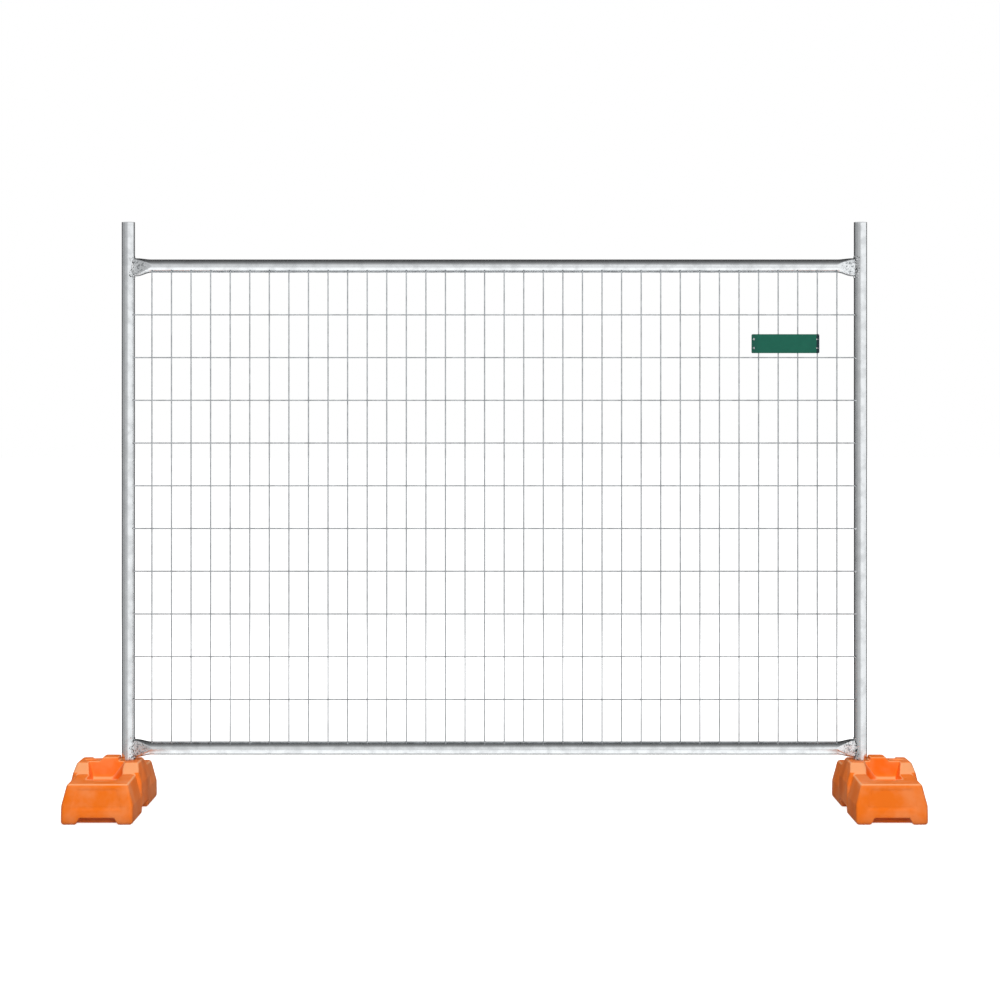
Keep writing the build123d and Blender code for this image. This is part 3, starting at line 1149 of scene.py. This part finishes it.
@dataclass(frozen=True)
class Studio:
    """The viewpoint of the photograph, a pale floor and soft light, in metres and watts."""

    distance: float = 8.4
    height: float = 1.2926
    lens_mm: float = 93.9
    shift_x: float = 0.0056
    shift_y: float = -0.091
    sight: float = 500.0
    softboxes: tuple[Softbox, ...] = (
        Softbox("key_softbox", (0.4, -7.5, 3.2), (0, 0, 0.7), 3.0, 2.0, 315),
        Softbox("top_softbox", (0, -1.6, 4.2), (0, 0, 0.8), 4.0, 1.6, 110),
        Softbox("back_softbox", (0, 6.0, 4.4), (0, 0, 0.7), 4.0, 2.0, 170),
    )
    white: str = "#FFFFFF"
    backdrop: float = 1.0
    fill: float = 0.12
    mirrored_by_depth: Spread = Spread(0.2, 0.5, 1.0, 0.14)
    mirrored_by_height: Stops = (
        (-1.0, 1.4), (-0.6, 1.4), (-0.42, 0.95), (0.0, 0.93), (0.2, 1.0),
        (0.5, 0.6), (0.74, 0.35), (0.93, 0.21), (1.0, 0.12),
    )
    mirrored_by_side: Stops = (
        (-1.0, 0.5), (-0.9, 0.42), (-0.72, 0.68), (-0.42, 0.66), (-0.12, 0.85), (0.12, 1.4), (1.0, 1.3),
    )
    level_band: Spread = Spread(0.16, 0.34, 1.0, 0.0)   # where the sides count, by how steep a ray is
    floor_half: float = 60.0
    floor_matt: str = "#E7E7E7"
    floor_bounce: str = "#999999"
    floor_glow: Spread = Spread(1.6, 4.0, 0.78, 1.0)    # by the distance from the panel's middle

    def place_camera(self) -> None:
        """Set the camera where the photograph was taken from."""
        data = bpy.data.cameras.new("camera")
        data.lens = self.lens_mm
        data.shift_x = self.shift_x
        data.shift_y = self.shift_y
        data.clip_end = self.sight
        camera = bpy.data.objects.new("camera", data)
        camera.location = (0, -self.distance, self.height)
        camera.rotation_euler = (QUARTER_TURN, 0, 0)
        bpy.context.scene.collection.objects.link(camera)
        bpy.context.scene.camera = camera

    def light(self) -> None:
        """Set the world, the floor and the lamps."""
        bpy.context.scene.view_settings.view_transform = "Standard"
        self.build_world()
        self.build_floor()
        for softbox in self.softboxes:
            softbox.hang()

    def build_world(self) -> None:
        """A white backdrop to the eye; where metal mirrors it, a bright yard with a dark sky."""
        world = bpy.data.worlds.new("studio")
        world.use_nodes = True
        world.cycles.sampling_method = "NONE"
        bpy.context.scene.world = world
        tree = world.node_tree
        tree.nodes.clear()
        rays = add_node(tree, "LightPath").outputs
        either = {0: rays["Is Glossy Ray"], 1: rays["Is Transmission Ray"]}
        mirrored = add_node(tree, "Math", either, operation="MAXIMUM").outputs["Value"]
        white = srgb(self.white)
        seen = add_node(tree, "Background", {"Color": white, "Strength": self.backdrop})
        yard = add_node(tree, "Background", {"Color": white, "Strength": self.mirror_yard(tree)})
        fill = add_node(tree, "Background", {"Color": white, "Strength": self.fill})
        soft = {0: mirrored, 1: fill.outputs["Background"], 2: yard.outputs["Background"]}
        soft = add_node(tree, "MixShader", soft).outputs["Shader"]
        whole = {0: rays["Is Camera Ray"], 1: soft, 2: seen.outputs["Background"]}
        whole = add_node(tree, "MixShader", whole).outputs["Shader"]
        add_node(tree, "OutputWorld", {"Surface": whole})

    def mirror_yard(self, tree: Tree) -> Socket:
        """The brightness of the yard that metal mirrors.

        It is brightest on the ground in front, and darker behind the fence and overhead. Near
        the horizon its left half is a grey wall and its right half is open.

        Args:
            tree: The world's tree.

        Returns:
            The brightness in each direction.
        """
        toward = add_node(tree, "TexCoord").outputs["Generated"]
        toward = add_node(tree, "SeparateXYZ", {"Vector": toward}).outputs
        by_height = grey_ramp(tree, toward["Z"], self.mirrored_by_height)
        by_side = grey_ramp(tree, toward["X"], self.mirrored_by_side)
        by_depth = self.mirrored_by_depth.sockets(toward["Y"])
        by_depth = add_node(tree, "MapRange", by_depth, **SMOOTH).outputs["Result"]
        steep = add_node(tree, "Math", {0: toward["Z"]}, operation="ABSOLUTE").outputs["Value"]
        level = add_node(tree, "MapRange", self.level_band.sockets(steep), **SMOOTH).outputs["Result"]
        sided = {"Factor": level, "A": 1.0, "B": by_side}
        sided = add_node(tree, "Mix", sided, data_type="FLOAT").outputs["Result"]
        shade = add_node(tree, "Math", {0: by_height, 1: by_depth}, operation="MULTIPLY").outputs["Value"]
        return add_node(tree, "Math", {0: shade, 1: sided}, operation="MULTIPLY").outputs["Value"]

    def build_floor(self) -> None:
        """A plain pale floor that keeps the fence's shadow and grows white with distance.

        Metal mirrors the yard's ground in its place, and it throws little light up.
        """
        bm = bmesh.new()
        bmesh.ops.create_grid(bm, x_segments=1, y_segments=1, size=self.floor_half)
        mesh = bpy.data.meshes.new("floor")
        bm.to_mesh(mesh)
        bm.free()
        material, tree, place = new_material("pale_floor")
        rays = add_node(tree, "LightPath").outputs
        away = add_node(tree, "VectorMath", {0: place}, operation="LENGTH").outputs["Value"]
        strength = add_node(tree, "MapRange", self.floor_glow.sockets(away), **SMOOTH).outputs["Result"]
        matt = add_node(tree, "BsdfDiffuse", {"Color": srgb(self.floor_matt)}).outputs["BSDF"]
        bounce = add_node(tree, "BsdfDiffuse", {"Color": srgb(self.floor_bounce)}).outputs["BSDF"]
        glow = {"Color": srgb(self.white), "Strength": strength}
        glow = add_node(tree, "Emission", glow).outputs["Emission"]
        lit = add_node(tree, "AddShader", {0: matt, 1: glow}).outputs["Shader"]
        whole = {0: rays["Is Diffuse Ray"], 1: lit, 2: bounce}
        whole = add_node(tree, "MixShader", whole).outputs["Shader"]
        add_node(tree, "OutputMaterial", {"Surface": whole})
        mesh.materials.append(material)
        floor = bpy.data.objects.new("floor", mesh)
        floor.visible_glossy = False
        bpy.context.scene.collection.objects.link(floor)


def main() -> None:
    """Build the studio and the fence, and report each piece."""
    logging.basicConfig(level=logging.INFO, format="%(name)s %(message)s")
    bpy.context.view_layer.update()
    studio = Studio()
    studio.place_camera()
    studio.light()
    rails = [FenceRail(level) for level in Level]
    level_tube = GalvanisedTube(Axis.ALONG_FENCE, rails[0].crushed_from()).build()
    upright_tube = GalvanisedTube(Axis.UPRIGHT).build()
    weld = ZincWeld().build()
    wire = DrawnWire().build()
    plastic = MouldedPolyethylene().build()
    black = MouldedBung().build()
    pieces = [rail.build(level_tube) for rail in rails]
    for side in Side:
        pieces.append(FencePost(side).build(upright_tube))
        pieces.append(MouldedFoot(side).build(plastic))
        pieces.append(FillingBung(side).build(black))
        pieces += [WeldBead(side, level).build(weld) for level in Level]
    mesh = WeldedMesh()
    pieces += mesh.build(wire, weld)
    pieces += TiedPlate().build(PaintedPlate(), wire, mesh)
    for piece in pieces:
        LOG.info("%s: %d faces", piece.name, len(piece.data.polygons))


if __name__ == "__main__":
    main()
